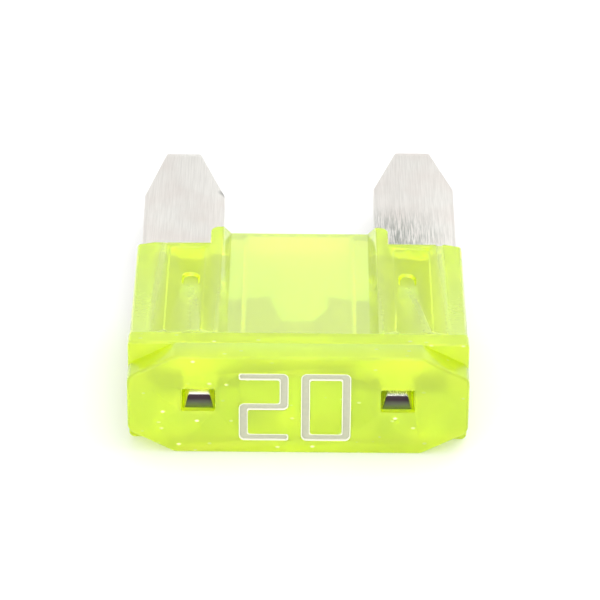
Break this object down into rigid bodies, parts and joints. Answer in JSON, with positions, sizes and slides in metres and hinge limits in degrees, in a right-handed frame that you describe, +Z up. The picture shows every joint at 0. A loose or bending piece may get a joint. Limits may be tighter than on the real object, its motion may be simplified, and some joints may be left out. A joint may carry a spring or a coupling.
{
  "type": "automotive blade fuse",
  "caption": "Small plug-in blade fuse: clear yellow plastic body around one metal stamping with two flat blades and a thin link.",
  "frame": {"origin": "middle of the bounding box in X and Y, on the surface the fuse lies on", "axes": "+Y from the end face of the head towards the blade tips, +Z up through the fuse's thickness, X across the two blades"},
  "size_m": [0.011, 0.0164, 0.0036],
  "materials": {
    "clear_yellow_plastic": "gloss",
    "plated_zinc": "satin",
    "pale_foil": "satin"
  },
  "bodies": {
    "root": {"housing": "clear_yellow_plastic", "fuse_element": "plated_zinc", "rating_foil": "pale_foil"}
  },
  "joints": []
}
